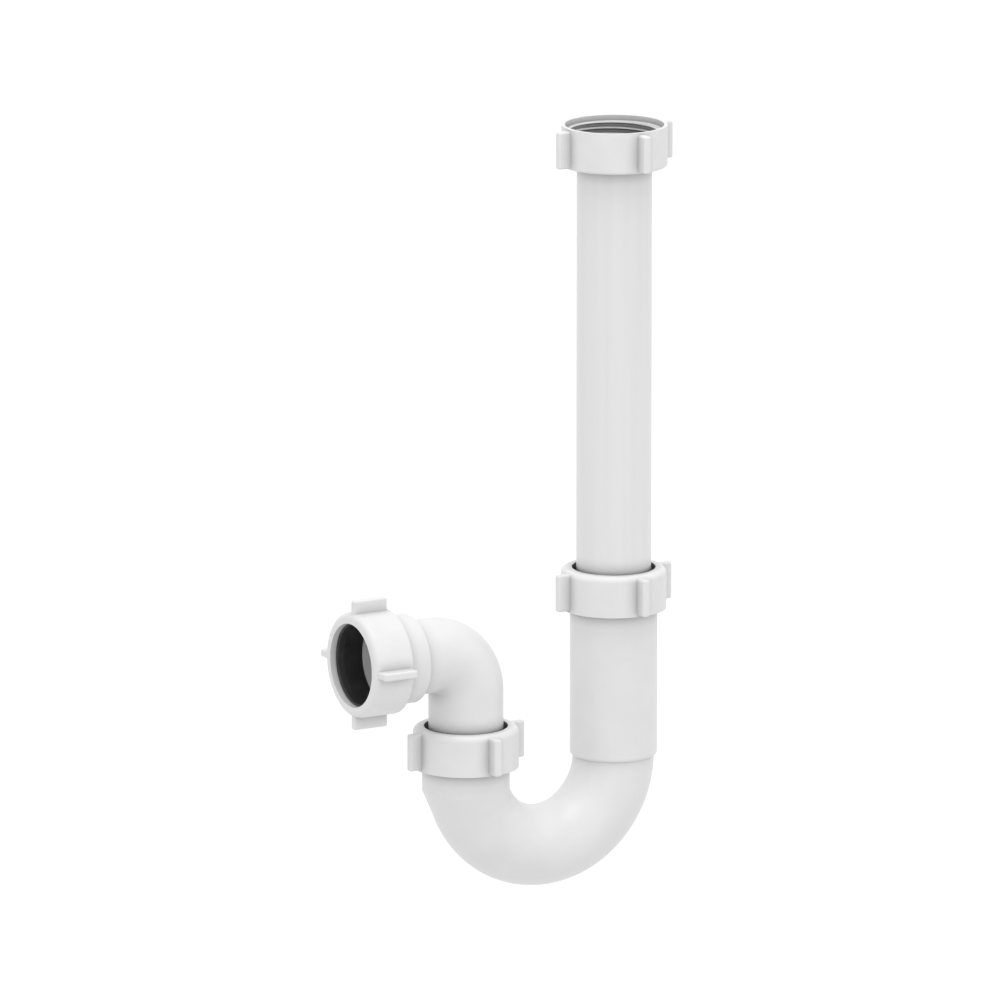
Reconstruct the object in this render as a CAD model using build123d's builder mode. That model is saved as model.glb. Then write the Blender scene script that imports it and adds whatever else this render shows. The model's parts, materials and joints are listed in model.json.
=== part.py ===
"""Telescopic tubular swivel P-trap for a sink waste, in millimetres.

The origin is the centre of the inlet washer's top face, +Z runs up the inlet axis,
and the outlet points along -X.
"""

import os
from math import asin, degrees

from build123d import *

# Tube and its fits
tube_diameter = 40.0
tube_wall = 2.4
slide_clearance = 0.4
grip_clearance = 0.1

# Compression joint, from the lip of the nut inwards
lip_thickness = 3.4
slip_ring_thickness = 1.2
slip_ring_gap = 1.6
seal_flange_thickness = 3.0
seal_sleeve_length = 10.0
seal_land_length = 3.0
seal_entry_gap = 1.5
seal_neck_gap = 0.8
seal_nose_wall = 1.1
seal_space = 2.0
seal_clearance = 0.3
seal_end_clearance = 0.8

# Lugged nuts
nut_height = 22.1
nut_wall = 3.2
nut_hole_gap = 2.4
nut_mouth_wall = 1.8
nut_mouth_depth = 2.7
thread_space = 1.6
thread_lead_in = 0.6
thread_run_out = 0.4
lip_edge_fillet = 1.2
nut_rim_fillet = 3.2
nut_mouth_fillet = 0.6
lug_count = 4
lug_projection = 6.9
lug_width = 4.2
lug_height = 20.0
lug_bite = 1.0
lug_fillet = 1.1

# Inlet coupling
inlet_thread_diameter = 48.2
inlet_lip_thickness = 3.8
inlet_rim_fillet = 1.4
inlet_hole_gap = 0.5
flange_thickness = 3.5
flange_clearance = 1.0
flange_fillet = 0.8
washer_thickness = 2.5
washer_wall = 4.4

# U-bend moulding
socket_wall = 1.4
telescope_drop = 227.9
tube_insertion = 67.0
leg_length = 93.9
leg_sink = 1.3
leg_edge_fillet = 2.2
leg_centres = 91.0
bend_growth = 1.75
bend_wall = 2.8
collar_length = 17.6
collar_sink = 9.8
collar_floor = 2.4
blend_drop = 0.6
blend_sink = 0.1
thread_start_chamfer = 0.8

# Outlet elbow
outlet_rise = 65.9
outlet_reach = 70.0
elbow_throat = 1.0
elbow_end_clearance = 1.0
shoulder_start = 33.6
shoulder_length = 15.4
shoulder_step = 0.4
shoulder_fillet = 2.4
pipe_stop = 40.0

# Radii that follow from the tube
tube_radius = tube_diameter / 2
bore_radius = tube_radius - tube_wall
guide_radius = tube_radius + slide_clearance
socket_radius = tube_radius + seal_space
leg_radius = socket_radius + socket_wall
bend_radius = tube_radius + bend_growth
bend_bore_radius = bend_radius - bend_wall
grip_thread_radius = leg_radius + thread_space
nut_radius = grip_thread_radius + nut_wall
elbow_bend_radius = tube_radius + elbow_throat
shoulder_radius = leg_radius + shoulder_step
inlet_thread_radius = inlet_thread_diameter / 2
flange_radius = inlet_thread_radius - flange_clearance
flange_ledge = flange_radius - tube_radius
washer_bore_radius = flange_radius - washer_wall

# Levels and places that follow from the joints
ring_level = -lip_thickness
seal_level = ring_level - slip_ring_thickness
socket_level = seal_level - seal_flange_thickness
seal_nose_level = socket_level - seal_sleeve_length
socket_floor_level = seal_nose_level - seal_end_clearance
inlet_stack = flange_thickness + washer_thickness
leg_end_z = -telescope_drop + socket_level
bend_z = leg_end_z - leg_length
tube_end_z = leg_end_z - tube_insertion
collar_end_z = bend_z + collar_length
collar_foot_z = bend_z - collar_sink
collar_floor_z = collar_foot_z + collar_floor
spigot_end_z = collar_floor_z + elbow_end_clearance
outlet_z = bend_z + outlet_rise

# The blend ends where its section clears the collar's foot on the inside of the bend
bend_inside_radius = leg_centres / 2 - bend_radius
blend_angle = degrees(asin((collar_sink + blend_drop) / bend_inside_radius))

# A joint plane lies on the outer face of a nut's lip, with its Z pointing out of the nut
inlet_joint = Plane((0, 0, -inlet_stack - inlet_lip_thickness), x_dir=(1, 0, 0), z_dir=(0, 0, -1))
leg_joint = Plane((0, 0, -telescope_drop))
elbow_joint = Plane((-leg_centres, 0, collar_end_z - socket_level))
outlet_joint = Plane((-leg_centres - outlet_reach, 0, outlet_z), x_dir=(0, 0, 1), z_dir=(-1, 0, 0))


def axis_of(joint):
    """Return the axis of a joint."""
    return Axis(joint.origin, joint.z_dir)


def section_of(joint):
    """Return the plane for a joint's section: local X is the radius, local Y the height."""
    return Plane(joint.origin, x_dir=joint.x_dir, z_dir=-joint.y_dir)


def radius_of(edge, joint):
    """Return how far an edge's middle lies from a joint's axis."""
    middle = joint.to_local_coords(edge.center())
    return Vector(middle.X, middle.Y).length


def socket_outline(depth):
    """Return the outline of a socket's hollow, from its mouth down to a depth below the lip."""
    return [
        (0, socket_level),
        (socket_radius, socket_level),
        (socket_radius, socket_floor_level),
        (guide_radius, socket_floor_level),
        (guide_radius, -depth),
        (0, -depth),
    ]


def lugged_nut(joint, hole_radius, lip, rim_fillet, thread_radius, seat_depth):
    """Make a nut whose thread runs from its seat, under the lip, to a wider mouth."""
    lug_inner = nut_radius - lug_bite
    lug_length = lug_projection + lug_bite
    mouth_radius = nut_radius - nut_mouth_wall
    ledge = nut_mouth_depth - nut_height
    seat = -lip - seat_depth
    with BuildPart() as nut:
        # Grip lugs, rounded on every edge outside the body
        with BuildSketch(joint.offset((lug_height - nut_height) / 2)):
            with PolarLocations(lug_inner + lug_length / 2, lug_count):
                Rectangle(lug_length, lug_width)
        extrude(amount=-lug_height)
        outer_edges = nut.edges().filter_by(lambda edge: radius_of(edge, joint) > nut_radius)
        fillet(outer_edges, lug_fillet)

        # Turned body with its lip, thread bore and counterbored mouth
        with BuildSketch(section_of(joint)) as section:
            with BuildLine():
                Polyline(
                    (hole_radius, 0),
                    (nut_radius, 0),
                    (nut_radius, -nut_height),
                    (mouth_radius, -nut_height),
                    (mouth_radius, ledge),
                    (thread_radius + thread_lead_in, ledge),
                    (thread_radius, ledge + thread_lead_in),
                    (thread_radius, seat),
                    (thread_radius + thread_run_out, seat),
                    (thread_radius + thread_run_out, -lip),
                    (hole_radius, -lip),
                    close=True,
                )
            make_face()
            corners = section.vertices()
            rim = corners.group_by(Axis.X)[-1].sort_by(Axis.Y)
            lip_edge = corners.group_by(Axis.X)[0].sort_by(Axis.Y)[-1]
            fillet(rim[-1], rim_fillet)
            fillet(rim[0], nut_mouth_fillet)
            fillet(lip_edge, lip_edge_fillet)
        revolve(axis=axis_of(joint))
    return nut


def compression_nut(joint):
    """Make the nut of a compression joint."""
    return lugged_nut(
        joint,
        hole_radius=tube_radius + nut_hole_gap,
        lip=lip_thickness,
        rim_fillet=nut_rim_fillet,
        thread_radius=grip_thread_radius,
        seat_depth=slip_ring_thickness + seal_flange_thickness,
    )


def slip_ring(joint):
    """Make the thin ring that lets the nut turn without twisting the seal."""
    with BuildPart() as ring:
        with BuildSketch(joint.offset(ring_level)):
            Circle(leg_radius)
            Circle(tube_radius + slip_ring_gap, mode=Mode.SUBTRACT)
        extrude(amount=-slip_ring_thickness)
    return ring


def tapered_seal(joint):
    """Make the rubber seal: a flange on the socket's end and a tapered sleeve inside it."""
    grip_radius = tube_radius + grip_clearance
    with BuildPart() as seal:
        with BuildSketch(section_of(joint)):
            with BuildLine():
                Polyline(
                    (tube_radius + seal_entry_gap, seal_level),
                    (leg_radius, seal_level),
                    (leg_radius, socket_level),
                    (socket_radius - seal_clearance, socket_level),
                    (grip_radius + seal_nose_wall, seal_nose_level),
                    (grip_radius, seal_nose_level),
                    (grip_radius, seal_nose_level + seal_land_length),
                    (tube_radius + seal_neck_gap, socket_level),
                    close=True,
                )
            make_face()
        revolve(axis=axis_of(joint))
    return seal


# Inlet nut, whose lip hangs on the flange of the tube
inlet_nut = lugged_nut(
    inlet_joint,
    hole_radius=tube_radius + inlet_hole_gap,
    lip=inlet_lip_thickness,
    rim_fillet=inlet_rim_fillet,
    thread_radius=inlet_thread_radius,
    seat_depth=inlet_stack,
)

# Flat washer on top of the flange
with BuildPart() as inlet_washer:
    with BuildSketch():
        Circle(flange_radius)
        Circle(washer_bore_radius, mode=Mode.SUBTRACT)
    extrude(amount=-washer_thickness)

# Telescopic tube with its flange
with BuildPart() as inlet_tube:
    with BuildSketch(Plane.XZ) as tube_section:
        with BuildLine():
            Polyline(
                (bore_radius, -washer_thickness),
                (flange_radius, -washer_thickness),
                (flange_radius, -inlet_stack),
                (tube_radius, -inlet_stack),
                (tube_radius, tube_end_z),
                (bore_radius, tube_end_z),
                close=True,
            )
        make_face()
        flange_corners = tube_section.vertices().group_by(Axis.X)[-1]
        fillet(flange_corners, min(flange_fillet, flange_ledge / 2))
    revolve(axis=Axis.Z)

# Centre lines of the U-bend and of the elbow
with BuildLine(Plane.XZ) as bend_line:
    CenterArc((-leg_centres / 2, bend_z), leg_centres / 2, 0, -180)
with BuildLine(Plane.XZ) as elbow_line:
    FilletPolyline(
        (-leg_centres, spigot_end_z),
        (-leg_centres, outlet_z),
        (-leg_centres - pipe_stop, outlet_z),
        radius=elbow_bend_radius,
    )

# U-bend: wide leg, swept bend and short collar in one moulding
with BuildPart() as u_bend:
    with BuildSketch(Plane((0, 0, bend_z))):
        Circle(bend_radius)
    sweep(path=bend_line.wire())

    # Wide right leg and left collar, each chamfered where its thread starts
    for joint, foot_z in ((leg_joint, bend_z - leg_sink), (elbow_joint, collar_foot_z)):
        foot = foot_z - joint.origin.Z
        with BuildSketch(section_of(joint)) as sleeve:
            with BuildLine():
                Polyline(
                    (0, socket_level),
                    (leg_radius, socket_level),
                    (leg_radius, foot),
                    (0, foot),
                    close=True,
                )
            make_face()
            sleeve_corners = sleeve.vertices().group_by(Axis.X)[-1].sort_by(Axis.Y)
            chamfer(sleeve_corners[-1], thread_start_chamfer)
            if joint is leg_joint:
                fillet(sleeve_corners[0], leg_edge_fillet)
        revolve(axis=axis_of(joint))

    # Blend from the collar's foot into the bend
    blend_end = 1 - blend_angle / 180
    with BuildSketch(Plane((-leg_centres, 0, collar_foot_z), x_dir=(0, 1, 0), z_dir=(0, 0, 1))):
        Circle(leg_radius)
    with BuildSketch(Plane(bend_line.wire() @ blend_end, x_dir=(0, 1, 0), z_dir=bend_line.wire() % blend_end)):
        Circle(bend_radius - blend_sink)
    loft()

    # Waterway and the two sockets
    with BuildSketch(Plane((0, 0, bend_z))):
        Circle(bend_bore_radius)
    sweep(path=bend_line.wire(), mode=Mode.SUBTRACT)
    for joint, floor_z in ((leg_joint, bend_z), (elbow_joint, collar_floor_z)):
        with BuildSketch(section_of(joint)):
            with BuildLine():
                Polyline(socket_outline(joint.origin.Z - floor_z), close=True)
            make_face()
        revolve(axis=axis_of(joint), mode=Mode.SUBTRACT)

# Outlet elbow: plain spigot, tight bend and threaded socket in one moulding
with BuildPart() as outlet_elbow:
    with BuildSketch(Plane((-leg_centres, 0, spigot_end_z))):
        Circle(tube_radius)
    sweep(path=elbow_line.wire())

    # Socket behind the outlet nut, with a shoulder where it leaves the elbow
    shoulder = shoulder_start - outlet_reach
    with BuildSketch(section_of(outlet_joint)) as outlet_sleeve:
        with BuildLine():
            Polyline(
                (0, socket_level),
                (leg_radius, socket_level),
                (leg_radius, shoulder + shoulder_length),
                (shoulder_radius, shoulder + shoulder_length),
                (shoulder_radius, shoulder),
                (0, shoulder),
                close=True,
            )
        make_face()
        shoulder_corner = outlet_sleeve.vertices().group_by(Axis.X)[-1].sort_by(Axis.Y)[0]
        fillet(shoulder_corner, shoulder_fillet)
        mouth_corner = outlet_sleeve.vertices().group_by(Axis.Y)[-1].sort_by(Axis.X)[-1]
        chamfer(mouth_corner, thread_start_chamfer)
    revolve(axis=axis_of(outlet_joint))

    # Waterway and the socket for the waste pipe
    with BuildSketch(Plane((-leg_centres, 0, spigot_end_z))):
        Circle(bore_radius)
    sweep(path=elbow_line.wire(), mode=Mode.SUBTRACT)
    with BuildSketch(section_of(outlet_joint)):
        with BuildLine():
            Polyline(socket_outline(outlet_reach - pipe_stop), close=True)
        make_face()
    revolve(axis=axis_of(outlet_joint), mode=Mode.SUBTRACT)

pieces = {
    "inlet_nut": inlet_nut,
    "inlet_washer": inlet_washer,
    "inlet_tube": inlet_tube,
    "u_bend": u_bend,
    "outlet_elbow": outlet_elbow,
}

# The three compression joints share their nut, slip ring and seal
for place, joint in (("leg", leg_joint), ("elbow", elbow_joint), ("outlet", outlet_joint)):
    pieces[f"{place}_nut"] = compression_nut(joint)
    pieces[f"{place}_slip_ring"] = slip_ring(joint)
    pieces[f"{place}_seal"] = tapered_seal(joint)

os.makedirs("parts", exist_ok=True)
for name, piece in pieces.items():
    piece.part.label = name
    export_step(piece.part, f"parts/{name}.step")
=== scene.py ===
"""Looks of the telescopic swivel P-trap: finishes, screw threads, light and camera."""

import json
from math import atan2, cos, pi, radians, sin

import bmesh
import bpy
from mathutils import Matrix, Vector


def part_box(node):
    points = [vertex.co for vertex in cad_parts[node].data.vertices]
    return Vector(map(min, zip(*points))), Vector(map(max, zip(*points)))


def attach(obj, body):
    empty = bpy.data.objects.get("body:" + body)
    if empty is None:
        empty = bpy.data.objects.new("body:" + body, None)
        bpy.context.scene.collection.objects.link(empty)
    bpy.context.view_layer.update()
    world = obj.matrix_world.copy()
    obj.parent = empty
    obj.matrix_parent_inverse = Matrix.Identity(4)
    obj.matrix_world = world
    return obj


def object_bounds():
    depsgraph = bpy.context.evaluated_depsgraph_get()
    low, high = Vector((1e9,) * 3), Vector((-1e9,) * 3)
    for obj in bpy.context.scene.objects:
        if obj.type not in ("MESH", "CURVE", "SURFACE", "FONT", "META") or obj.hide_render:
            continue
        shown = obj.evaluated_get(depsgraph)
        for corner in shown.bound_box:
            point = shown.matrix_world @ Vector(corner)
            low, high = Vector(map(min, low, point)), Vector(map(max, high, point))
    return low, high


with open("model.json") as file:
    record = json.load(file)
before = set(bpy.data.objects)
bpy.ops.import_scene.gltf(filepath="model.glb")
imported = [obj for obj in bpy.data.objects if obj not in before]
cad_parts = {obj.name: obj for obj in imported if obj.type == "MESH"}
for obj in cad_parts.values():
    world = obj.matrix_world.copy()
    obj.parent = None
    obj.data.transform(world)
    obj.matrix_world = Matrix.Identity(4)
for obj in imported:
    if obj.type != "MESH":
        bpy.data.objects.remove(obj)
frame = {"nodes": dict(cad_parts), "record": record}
cad_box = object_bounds()

MM = 0.001
UP = Vector((0, 0, 1))
DOWN = Vector((0, 0, -1))
OUT = Vector((-1, 0, 0))

# Section of a screw ridge, and the steps of its helix
PITCH = 3.2 * MM
RIDGE_FOOT = 2.1 * MM
RIDGE_CREST = 0.7 * MM
RIDGE_ROUND = 0.18 * MM
RIDGE_ROUND_STEPS = 2
RIDGE_SINK = 0.1 * MM
STEPS_PER_TURN = 96
FADE_STEPS = 10
MERGE_DISTANCE = 0.001 * MM
SHARP_ANGLE = radians(30)

# Compression joints: name, direction out of the nut's lip, and the piece whose end carries the nut
COMPRESSION_JOINTS = (("leg", UP, "u_bend"), ("elbow", UP, "u_bend"), ("outlet", OUT, "outlet_elbow"))

# Threads of the nuts and of the ends, with depths below the outer face of the nut's lip
THREAD_SPACE = 1.6 * MM
THREAD_CLEARANCE = 0.35 * MM
NUT_THREAD_TOP = 9.0 * MM
NUT_THREAD_TURNS = 2.7
END_THREAD_TURNS = 3.05
END_THREAD_SHIFT = 0.5 * PITCH
INLET_RIDGE_HEIGHT = 1.3 * MM
INLET_THREAD_TOP = 11.0 * MM
INLET_THREAD_TURNS = 3.55
INLET_THREAD_MOUTH = 18.8 * MM

# Tones of the pieces, from the darker to the lighter end of the cloud
WHITE_TONES = ((0.765, 0.765, 0.765), (0.795, 0.795, 0.795))
# The slip rings' dark grey also paints the shade in the gaps round the tubes.
GAP_SHADE_RING_TONES = ((0.075, 0.075, 0.078), (0.095, 0.095, 0.099))
BLACK_TONES = ((0.010, 0.010, 0.011), (0.022, 0.022, 0.023))

# Skin of the pieces
PLASTIC_IOR = 1.49
SKIN_DETAIL = {"Cloud": 3.0, "Grain": 2.0}
CLOUD_SPAN = (0.3, 0.7)
GRAIN_STRENGTH = 0.35
SEAM_HALF_WIDTH = 0.22 * MM
SEAM_STRENGTH = 0.5

# Painted shade in creases: the colour is darkened where the surface is closed in, deeper inside the bore of
# the inlet nut
PAINTED_SHADE_REACH = 8.0 * MM
PAINTED_SHADE_DEPTH = 0.65
PAINTED_SHADE_SAMPLES = 16
BORE_RADIUS = 27.3 * MM
BORE_EDGE = 3.0 * MM
BORE_PAINTED_SHADE_DEPTH = 2.1

# Finish of each CAD node
FINISH_OF_NODE = {
    "inlet_tube": "tube",
    "u_bend": "moulding",
    "outlet_elbow": "moulding",
    "inlet_nut": "inlet_nut",
    "leg_nut": "nut",
    "elbow_nut": "nut",
    "outlet_nut": "nut",
    "leg_slip_ring": "ring",
    "elbow_slip_ring": "ring",
    "outlet_slip_ring": "ring",
    "inlet_washer": "rubber",
    "leg_seal": "rubber",
    "elbow_seal": "rubber",
    "outlet_seal": "rubber",
}

# Camera of the photograph, in degrees and metres, with the sensor in the camera's own millimetres
CAMERA_AZIMUTH = -30.0
CAMERA_ELEVATION = 12.5
CAMERA_DISTANCE = 7.0
CAMERA_AIM = Vector((-70.05, 0.0, -183.9)) * MM
CAMERA_CLIP_END = 200.0
FRAME_WIDTH = 530.5 * MM
SENSOR_WIDTH = 36.0

# Floor and room
PURE_WHITE = (1.0, 1.0, 1.0, 1.0)
FLOOR_COLOUR = (0.70, 0.70, 0.70, 1.0)
FLOOR_ROUGHNESS = 0.9
FLOOR_GLOW = 0.36
FLOOR_DROP = 0.35
FLOOR_SIZE = 60.0
ROOM_LIGHT = 0.95


def new_group(name, inputs, outputs):
    """Start a shader node group with named sockets, and return it with its entry and its exit."""
    group = bpy.data.node_groups.new(name, "ShaderNodeTree")
    for in_out, sockets in (("INPUT", inputs), ("OUTPUT", outputs)):
        for socket, kind in sockets.items():
            group.interface.new_socket(socket, in_out=in_out, socket_type=f"NodeSocket{kind}")
    return group, group.nodes.new("NodeGroupInput"), group.nodes.new("NodeGroupOutput")


def moulded_skin_group():
    """Build the shared skin of a moulded surface: a slow cloud and a fine grain."""
    group, entry, leave = new_group(
        "moulded_skin",
        {"Vector": "Vector", "Cloud Scale": "Float", "Grain Scale": "Float"},
        {"Cloud": "Float", "Grain": "Float"},
    )
    links = group.links
    for name, detail in SKIN_DETAIL.items():
        texture = group.nodes.new("ShaderNodeTexNoise")
        texture.inputs["Detail"].default_value = detail
        links.new(entry.outputs["Vector"], texture.inputs["Vector"])
        links.new(entry.outputs[f"{name} Scale"], texture.inputs["Scale"])
        links.new(texture.outputs["Fac"], leave.inputs[name])
    return group


def parting_seam_group():
    """Build the shared parting seam of a moulding: a fine raised line where Y is zero."""
    group, entry, leave = new_group(
        "parting_seam", {"Vector": "Vector", "Half Width": "Float"}, {"Line": "Float"}
    )
    nodes, links = group.nodes, group.links
    parts = nodes.new("ShaderNodeSeparateXYZ")
    away = nodes.new("ShaderNodeMath")
    away.operation = "ABSOLUTE"
    line = nodes.new("ShaderNodeMapRange")
    line.interpolation_type = "SMOOTHSTEP"
    line.inputs["From Min"].default_value = 0.0
    line.inputs["To Min"].default_value = 1.0
    line.inputs["To Max"].default_value = 0.0
    links.new(entry.outputs["Vector"], parts.inputs["Vector"])
    links.new(parts.outputs["Y"], away.inputs[0])
    links.new(away.outputs[0], line.inputs["Value"])
    links.new(entry.outputs["Half Width"], line.inputs["From Max"])
    links.new(line.outputs["Result"], leave.inputs["Line"])
    return group


# Painted shade: the base colour is darkened in creases and between parts, where shade falls.
def painted_shade_of_creases_group():
    """Build the shared painted shade of creases: the colour darkens where the surface is closed in."""
    group, entry, leave = new_group(
        "painted_shade_of_creases", {"Color": "Color", "Openness": "Float", "Depth": "Float"}, {"Color": "Color"}
    )
    nodes, links = group.nodes, group.links
    kept = nodes.new("ShaderNodeMath")
    kept.operation = "POWER"
    darken = nodes.new("ShaderNodeVectorMath")
    darken.operation = "SCALE"
    links.new(entry.outputs["Openness"], kept.inputs[0])
    links.new(entry.outputs["Depth"], kept.inputs[1])
    links.new(entry.outputs["Color"], darken.inputs[0])
    links.new(kept.outputs[0], darken.inputs["Scale"])
    links.new(darken.outputs[0], leave.inputs["Color"])
    return group


MOULDED_SKIN = moulded_skin_group()
PARTING_SEAM = parting_seam_group()
PAINTED_SHADE_OF_CREASES = painted_shade_of_creases_group()


def place_group(nodes, group, values):
    """Place a shared group in a material with the material's own values."""
    node = nodes.new("ShaderNodeGroup")
    node.node_tree = group
    for name, value in values.items():
        node.inputs[name].default_value = value
    return node


def mapped(nodes, links, value, span, ends):
    """Map a value from a span to two ends, and return the result."""
    node = nodes.new("ShaderNodeMapRange")
    for name, number in zip(("From Min", "From Max", "To Min", "To Max"), (*span, *ends)):
        node.inputs[name].default_value = number
    links.new(value, node.inputs["Value"])
    return node.outputs["Result"]


def raised(nodes, links, height, strength, distance):
    """Raise the surface by a height as a bump, and return the bump."""
    bump = nodes.new("ShaderNodeBump")
    bump.inputs["Strength"].default_value = strength
    bump.inputs["Distance"].default_value = distance
    links.new(height, bump.inputs["Height"])
    return bump


def cloud_tone(nodes, links, cloud, tones):
    """Let the colour drift between two tones with the cloud, and return it."""
    ramp = nodes.new("ShaderNodeValToRGB")
    for stop, position, tone in zip(ramp.color_ramp.elements, CLOUD_SPAN, tones):
        stop.position = position
        stop.color = (*tone, 1.0)
    links.new(cloud, ramp.inputs["Fac"])
    return ramp.outputs["Color"]


# Painted shade: the darkening of creases grows inside the inlet nut's bore.
def painted_bore_shade_depth(nodes, links, vector):
    """Return how deep the painted shade of creases is: more inside the bore about the Z axis."""
    flat = nodes.new("ShaderNodeMapping")
    flat.inputs["Scale"].default_value = (1.0, 1.0, 0.0)
    radius = nodes.new("ShaderNodeVectorMath")
    radius.operation = "LENGTH"
    links.new(vector, flat.inputs["Vector"])
    links.new(flat.outputs["Vector"], radius.inputs[0])
    span = (BORE_RADIUS - BORE_EDGE, BORE_RADIUS)
    return mapped(nodes, links, radius.outputs["Value"], span, (BORE_PAINTED_SHADE_DEPTH, PAINTED_SHADE_DEPTH))


# Painted shade: ambient occlusion darkens the base colour in creases and between parts.
def paint_shade_in_creases(nodes, links, colour):
    """Paint shade into the creases of a colour, and return its group."""
    openness = nodes.new("ShaderNodeAmbientOcclusion")
    openness.samples = PAINTED_SHADE_SAMPLES
    openness.inputs["Distance"].default_value = PAINTED_SHADE_REACH
    shade = place_group(nodes, PAINTED_SHADE_OF_CREASES, {"Depth": PAINTED_SHADE_DEPTH})
    links.new(colour, shade.inputs["Color"])
    links.new(openness.outputs["AO"], shade.inputs["Openness"])
    return shade


def finish_material(
    name,
    tones,
    roughness,
    cloud_scale,
    grain_scale,
    grain_depth,
    seam_depth=0.0,
    stretch=1.0,
    painted_bore_shade=False,
):
    """Make a finish: tone and gloss drift with the cloud, creases get painted shade, grain and seam are
    raised.
    """
    material = bpy.data.materials.new(name)
    material.use_nodes = True
    nodes, links = material.node_tree.nodes, material.node_tree.links
    shader = nodes["Principled BSDF"]
    shader.inputs["IOR"].default_value = PLASTIC_IOR
    place = nodes.new("ShaderNodeTexCoord").outputs["Object"]
    stretched = nodes.new("ShaderNodeMapping")
    stretched.inputs["Scale"].default_value = (1.0, 1.0, 1.0 / stretch)
    links.new(place, stretched.inputs["Vector"])
    skin = place_group(nodes, MOULDED_SKIN, {"Cloud Scale": cloud_scale, "Grain Scale": grain_scale})
    links.new(stretched.outputs["Vector"], skin.inputs["Vector"])
    cloud = skin.outputs["Cloud"]

    # The base colour carries painted shade in its creases.
    shade = paint_shade_in_creases(nodes, links, cloud_tone(nodes, links, cloud, tones))
    # Deeper painted shade inside the inlet nut's bore.
    if painted_bore_shade:
        links.new(painted_bore_shade_depth(nodes, links, place), shade.inputs["Depth"])
    links.new(shade.outputs["Color"], shader.inputs["Base Color"])
    links.new(mapped(nodes, links, cloud, CLOUD_SPAN, roughness), shader.inputs["Roughness"])

    relief = raised(nodes, links, skin.outputs["Grain"], GRAIN_STRENGTH, grain_depth)
    if seam_depth:
        seam = place_group(nodes, PARTING_SEAM, {"Half Width": SEAM_HALF_WIDTH})
        links.new(place, seam.inputs["Vector"])
        seam_relief = raised(nodes, links, seam.outputs["Line"], SEAM_STRENGTH, seam_depth)
        links.new(relief.outputs["Normal"], seam_relief.inputs["Normal"])
        relief = seam_relief
    links.new(relief.outputs["Normal"], shader.inputs["Normal"])
    return material


def make_finishes():
    """Make one finish for each kind of piece."""
    nut_skin = {
        "tones": WHITE_TONES,
        "roughness": (0.36, 0.46),
        "cloud_scale": 80.0,
        "grain_scale": 1300.0,
        "grain_depth": 0.08 * MM,
    }
    return {
        "tube": finish_material(
            "drawn_white_tube",
            tones=WHITE_TONES,
            roughness=(0.28, 0.36),
            cloud_scale=160.0,
            grain_scale=900.0,
            grain_depth=0.05 * MM,
            stretch=40.0,
        ),
        "moulding": finish_material(
            "moulded_white_plastic",
            tones=WHITE_TONES,
            roughness=(0.32, 0.42),
            cloud_scale=60.0,
            grain_scale=1100.0,
            grain_depth=0.06 * MM,
            seam_depth=0.06 * MM,
        ),
        "nut": finish_material("satin_white_nut", **nut_skin),
        # The inlet nut's finish has deeper painted shade inside its bore.
        "inlet_nut": finish_material("satin_white_inlet_nut_with_painted_bore_shade", **nut_skin, painted_bore_shade=True),
        # The slip ring's dark tone paints the shade seen in the nuts' gaps.
        "ring": finish_material(
            "dark_slip_ring_with_gap_shade",
            tones=GAP_SHADE_RING_TONES,
            roughness=(0.5, 0.6),
            cloud_scale=120.0,
            grain_scale=1500.0,
            grain_depth=0.06 * MM,
        ),
        "rubber": finish_material(
            "black_seal_rubber",
            tones=BLACK_TONES,
            roughness=(0.45, 0.6),
            cloud_scale=150.0,
            grain_scale=1800.0,
            grain_depth=0.1 * MM,
        ),
    }


def dress_nodes(finishes):
    """Give every CAD node its finish."""
    for node, finish in FINISH_OF_NODE.items():
        for slot in frame["nodes"][node].material_slots:
            slot.material = finishes[finish]


def object_of(name, bm):
    """Turn a bmesh into an object that sits at the origin."""
    mesh = bpy.data.meshes.new(name)
    bm.to_mesh(mesh)
    bm.free()
    made = bpy.data.objects.new(name, mesh)
    bpy.context.scene.collection.objects.link(made)
    return made


def lip_face(nut, outward):
    """Return the placing of a nut's lip: origin in the middle of its outer face, Z out of the nut."""
    low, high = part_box(nut)
    middle = (low + high) / 2
    reach = abs((high - low).dot(outward)) / 2
    turn = UP.rotation_difference(outward).to_matrix().to_4x4()
    return Matrix.Translation(middle + outward * reach) @ turn


def ridge_section(bm, root, crest, start):
    """Draw the section of a ridge at the low end of its helix, with its crest rounded."""
    feet = [bm.verts.new((root, 0, start + side * RIDGE_FOOT / 2)) for side in (-1, 1)]
    tips = [bm.verts.new((crest, 0, start + side * RIDGE_CREST / 2)) for side in (1, -1)]
    bm.faces.new([*feet, *tips])
    bmesh.ops.bevel(
        bm,
        geom=tips,
        offset=RIDGE_ROUND,
        affect="VERTICES",
        segments=RIDGE_ROUND_STEPS,
        profile=0.5,
        material=-1,
    )


def close_openings(bm):
    """Fill the open ends of a ridge."""
    bmesh.ops.holes_fill(bm, edges=[edge for edge in bm.edges if edge.is_boundary])


def fade_ends(bm, root, start, turns):
    """Let a ridge sink into its wall over the first and last steps of its helix."""
    fade = FADE_STEPS / STEPS_PER_TURN
    for vert in bm.verts:
        share_of_turn = atan2(vert.co.y, vert.co.x) % (2 * pi) / (2 * pi)
        whole_turns = round((vert.co.z - start) / PITCH - share_of_turn)
        along = min(max(share_of_turn + whole_turns, 0.0), turns)
        kept = min(1.0, along / fade, (turns - along) / fade)
        radius = vert.co.xy.length
        vert.co.xy *= (root + (radius - root) * kept) / radius


def trim_at_mouth(bm, mouth):
    """Cut off the part of a ridge that lies deeper than the nut's mouth, and close the cut."""
    bmesh.ops.bisect_plane(
        bm,
        geom=[*bm.verts, *bm.edges, *bm.faces],
        plane_co=(0, 0, -mouth),
        plane_no=DOWN,
        clear_outer=True,
    )
    close_openings(bm)


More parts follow.
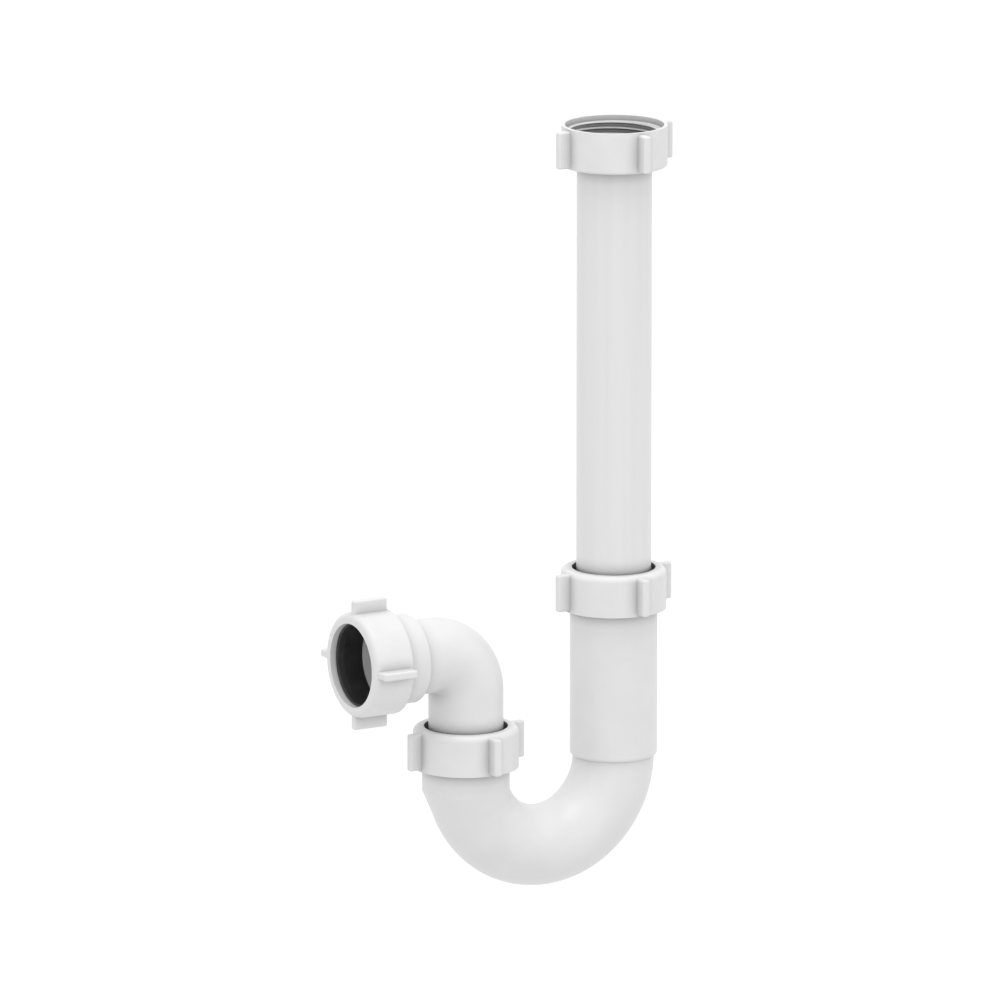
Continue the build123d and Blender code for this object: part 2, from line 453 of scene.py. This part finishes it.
def thread_ridge(name, placing, root, crest, top, turns, mouth=None):
    """Make a right-hand screw ridge below its top depth, faded at both ends and trimmed at a mouth."""
    sunk_root = root + RIDGE_SINK * (1 if root > crest else -1)
    start = -top - turns * PITCH
    bm = bmesh.new()
    ridge_section(bm, sunk_root, crest, start)
    bmesh.ops.spin(
        bm,
        geom=[*bm.verts, *bm.edges, *bm.faces],
        cent=(0, 0, 0),
        axis=UP,
        dvec=(0, 0, PITCH / STEPS_PER_TURN),
        angle=2 * pi * turns,
        steps=round(turns * STEPS_PER_TURN),
        use_merge=False,
    )
    bmesh.ops.remove_doubles(bm, verts=bm.verts, dist=MERGE_DISTANCE)
    close_openings(bm)
    fade_ends(bm, sunk_root, start, turns)
    if mouth:
        trim_at_mouth(bm, mouth)
    bmesh.ops.recalc_face_normals(bm, faces=bm.faces)
    bmesh.ops.transform(bm, matrix=placing, verts=bm.verts)
    ridge = object_of(name, bm)
    ridge.data.shade_smooth()
    ridge.data.set_sharp_from_angle(angle=SHARP_ANGLE)
    return ridge


def make_threads(finishes):
    """Add the ridges in the four nuts and on the three ends that carry a compression nut."""
    inlet_root = frame["record"]["mounts"][0]["dims"]["r_mm"] * MM
    inlet = thread_ridge(
        "inlet_nut_thread",
        lip_face("inlet_nut", DOWN),
        inlet_root,
        inlet_root - INLET_RIDGE_HEIGHT,
        INLET_THREAD_TOP,
        INLET_THREAD_TURNS,
        mouth=INLET_THREAD_MOUTH,
    )
    ridges = [(inlet, "inlet_nut", "inlet_nut")]

    low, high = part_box("leg_seal")
    end_root = (high - low).x / 2
    nut_root = end_root + THREAD_SPACE
    nut_crest = end_root + THREAD_CLEARANCE
    end_crest = nut_root - THREAD_CLEARANCE
    end_top = NUT_THREAD_TOP + (NUT_THREAD_TURNS - END_THREAD_TURNS) * PITCH + END_THREAD_SHIFT
    for place, outward, carrier in COMPRESSION_JOINTS:
        nut = f"{place}_nut"
        placing = lip_face(nut, outward)
        inner = thread_ridge(
            f"{nut}_thread", placing, nut_root, nut_crest, NUT_THREAD_TOP, NUT_THREAD_TURNS
        )
        outer = thread_ridge(
            f"{place}_end_thread", placing, end_root, end_crest, end_top, END_THREAD_TURNS
        )
        ridges += [(inner, nut, "nut"), (outer, carrier, "moulding")]
    for ridge, body, finish in ridges:
        ridge.data.materials.append(finishes[finish])
        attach(ridge, body)


def background_ray(nodes, links):
    """Return a value that is 1 for the rays that show the background: seen, mirrored or through glass."""
    path = nodes.new("ShaderNodeLightPath")
    shown = path.outputs["Is Camera Ray"]
    for kind in ("Is Glossy Ray", "Is Transmission Ray"):
        either = nodes.new("ShaderNodeMath")
        either.operation = "MAXIMUM"
        links.new(shown, either.inputs[0])
        links.new(path.outputs[kind], either.inputs[1])
        shown = either.outputs[0]
    return shown


def pale_floor_material():
    """Make a floor that is white to the camera and softer to the light that it returns."""
    material = bpy.data.materials.new("pale_floor")
    material.use_nodes = True
    nodes, links = material.node_tree.nodes, material.node_tree.links
    shader = nodes["Principled BSDF"]
    shader.inputs["Base Color"].default_value = FLOOR_COLOUR
    shader.inputs["Roughness"].default_value = FLOOR_ROUGHNESS
    shader.inputs["Emission Color"].default_value = PURE_WHITE
    glow = nodes.new("ShaderNodeMath")
    glow.operation = "MULTIPLY"
    glow.inputs[1].default_value = FLOOR_GLOW
    links.new(background_ray(nodes, links), glow.inputs[0])
    links.new(glow.outputs[0], shader.inputs["Emission Strength"])
    return material


def make_floor():
    """Lay the floor below the hanging trap."""
    bm = bmesh.new()
    bmesh.ops.create_grid(bm, x_segments=1, y_segments=1, size=FLOOR_SIZE / 2)
    bmesh.ops.translate(bm, vec=(0, 0, cad_box[0].z - FLOOR_DROP), verts=bm.verts)
    floor = object_of("floor", bm)
    floor.data.materials.append(pale_floor_material())


def make_room():
    """Surround the trap with even studio light, and show white behind it."""
    world = bpy.data.worlds.new("studio")
    bpy.context.scene.world = world
    world.use_nodes = True
    nodes, links = world.node_tree.nodes, world.node_tree.links
    room = nodes["Background"]
    room.inputs["Color"].default_value = PURE_WHITE
    room.inputs["Strength"].default_value = ROOM_LIGHT
    white = nodes.new("ShaderNodeBackground")
    white.inputs["Color"].default_value = PURE_WHITE
    mix = nodes.new("ShaderNodeMixShader")
    links.new(background_ray(nodes, links), mix.inputs["Fac"])
    links.new(room.outputs["Background"], mix.inputs[1])
    links.new(white.outputs["Background"], mix.inputs[2])
    links.new(mix.outputs["Shader"], nodes["World Output"].inputs["Surface"])


def stand_facing_trap(name, data, azimuth, elevation, distance):
    """Stand a lamp or a camera round the trap, in degrees from its front and above its level."""
    a, e = radians(azimuth), radians(elevation)
    away = Vector((sin(a) * cos(e), -cos(a) * cos(e), sin(e)))
    made = bpy.data.objects.new(name, data)
    made.location = CAMERA_AIM + away * distance
    made.rotation_mode = "QUATERNION"
    made.rotation_quaternion = (-away).to_track_quat("-Z", "Y")
    bpy.context.scene.collection.objects.link(made)
    return made


def softbox(name, azimuth, elevation, distance, size, power):
    """Hang a square softbox that faces the trap."""
    light = bpy.data.lights.new(name, "AREA")
    light.size = size
    light.energy = power
    stand_facing_trap(name, light, azimuth, elevation, distance)


def make_lights():
    """Light the trap softly from above and a little from the front."""
    softbox("overhead", azimuth=-10.0, elevation=75.0, distance=2.0, size=1.2, power=12.0)
    softbox("front", azimuth=-25.0, elevation=5.0, distance=3.0, size=1.6, power=4.0)


def make_camera():
    """Stand the camera where the photograph was taken from."""
    data = bpy.data.cameras.new("camera")
    data.sensor_width = SENSOR_WIDTH
    data.lens = SENSOR_WIDTH * CAMERA_DISTANCE / FRAME_WIDTH
    data.clip_end = CAMERA_CLIP_END
    camera = stand_facing_trap("camera", data, CAMERA_AZIMUTH, CAMERA_ELEVATION, CAMERA_DISTANCE)
    bpy.context.scene.camera = camera


finishes = make_finishes()
dress_nodes(finishes)
make_threads(finishes)
make_floor()
make_room()
make_lights()
make_camera()
bpy.context.scene.view_settings.view_transform = "Standard"
